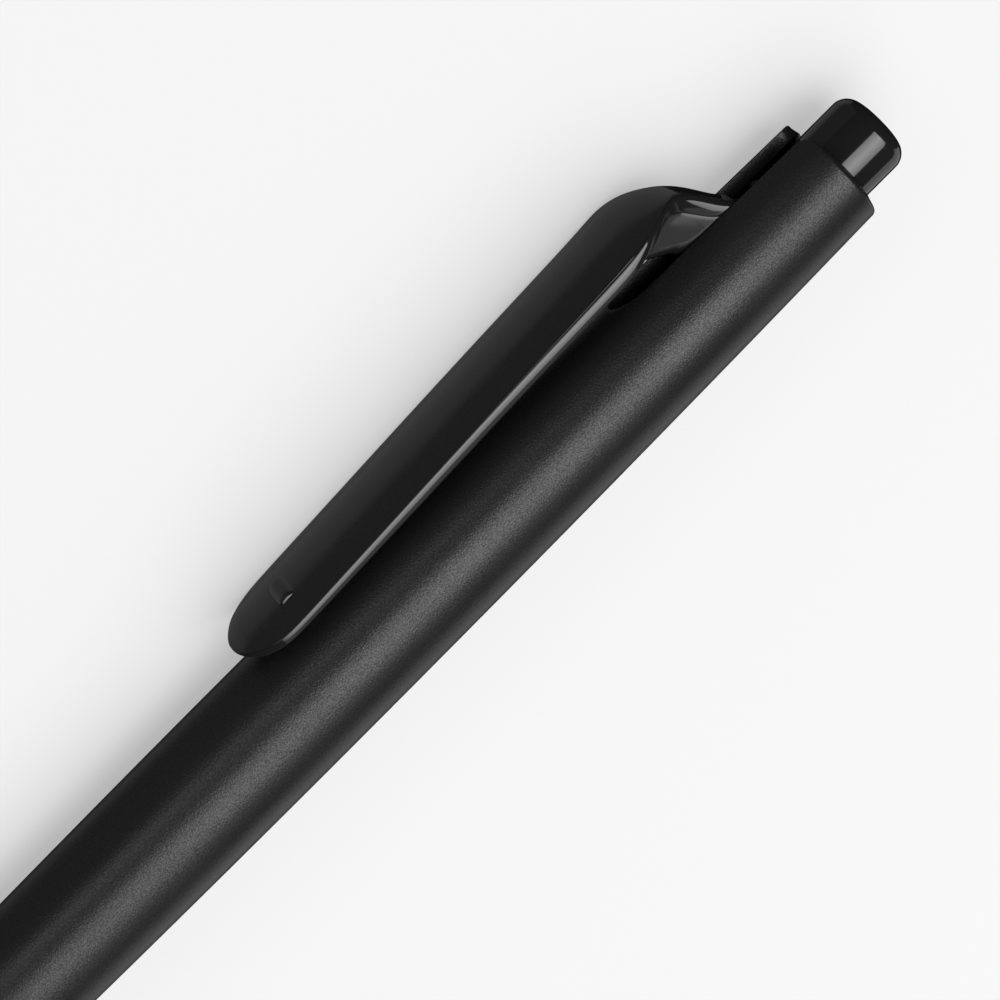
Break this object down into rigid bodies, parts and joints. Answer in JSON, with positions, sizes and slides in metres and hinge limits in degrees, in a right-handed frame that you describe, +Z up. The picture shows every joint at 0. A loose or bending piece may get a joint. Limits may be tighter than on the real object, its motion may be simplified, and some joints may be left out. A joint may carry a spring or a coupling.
{
  "type": "retractable ballpoint pen",
  "caption": "Slim click ballpoint pen in black plastic, with a bellied barrel, a broad curved pocket clip, a rear push button, a screw-in nose cone and a replaceable refill.",
  "frame": {"origin": "middle of the footprint, on the surface the pen lies on", "axes": "+X along the pen towards its button, +Y sideways towards the clip, +Z up, away from the surface"},
  "size_m": [0.142, 0.0156, 0.011],
  "materials": {
    "barrel_plastic": "fine satin texture, black",
    "gloss_plastic": "polished, black",
    "inner_plastic": "moulded, white",
    "mechanism_black": "moulded, black",
    "spring_steel": "drawn stainless wire",
    "tube_plastic": "translucent polypropylene tube",
    "ink": "dark blue paste",
    "grease": "clear yellow grease",
    "nickel_silver": "turned nickel silver",
    "ball_metal": "ground carbide ball"
  },
  "bodies": {
    "barrel": {"barrel": "barrel_plastic", "cam_sleeve": "mechanism_black"},
    "nose": {"nose_cone": "barrel_plastic"},
    "clip": {"clip": "gloss_plastic"},
    "button": {"button": "gloss_plastic", "plunger": "mechanism_black"},
    "refill": {"refill_tube": "tube_plastic", "ink_column": "ink", "grease_follower": "grease", "tip_holder": "inner_plastic", "writing_point": "nickel_silver", "ball": "ball_metal", "return_spring": "spring_steel"},
    "rotor": {"rotor": "inner_plastic"}
  },
  "joints": [
    {"name": "button_press", "type": "slide", "parent": "barrel", "child": "button", "axis": [1, 0, 0], "range_m": [-0.0013, 0.0045]},
    {"name": "refill_slide", "type": "slide", "parent": "barrel", "child": "refill", "axis": [1, 0, 0], "range_m": [-0.0013, 0.0045], "deforming": ["return_spring"]},
    {"name": "rotor_index", "type": "hinge", "parent": "refill", "child": "rotor", "pos_m": [0.04, -0.00233, 0.0055], "axis": [1, 0, 0], "range_deg": [-14, 46]},
    {"name": "clip_flex", "type": "hinge", "parent": "barrel", "child": "clip", "pos_m": [0.0555, 0.00206, 0.00522], "axis": [0, -0.0634, -0.998], "range_deg": [0, 3.5], "stiffness_Nm_per_rad": 0.3},
    {"name": "nose_cone_off", "type": "slide", "parent": "barrel", "child": "nose", "axis": [-1, 0, 0], "range_m": [0, 0.04]}
  ],
  "couplings": [
    {"joint": "refill_slide", "follows": "button_press", "ratio": 1},
    {"joint": "rotor_index", "follows": "button_press", "rad_per_m": 174.53}
  ]
}
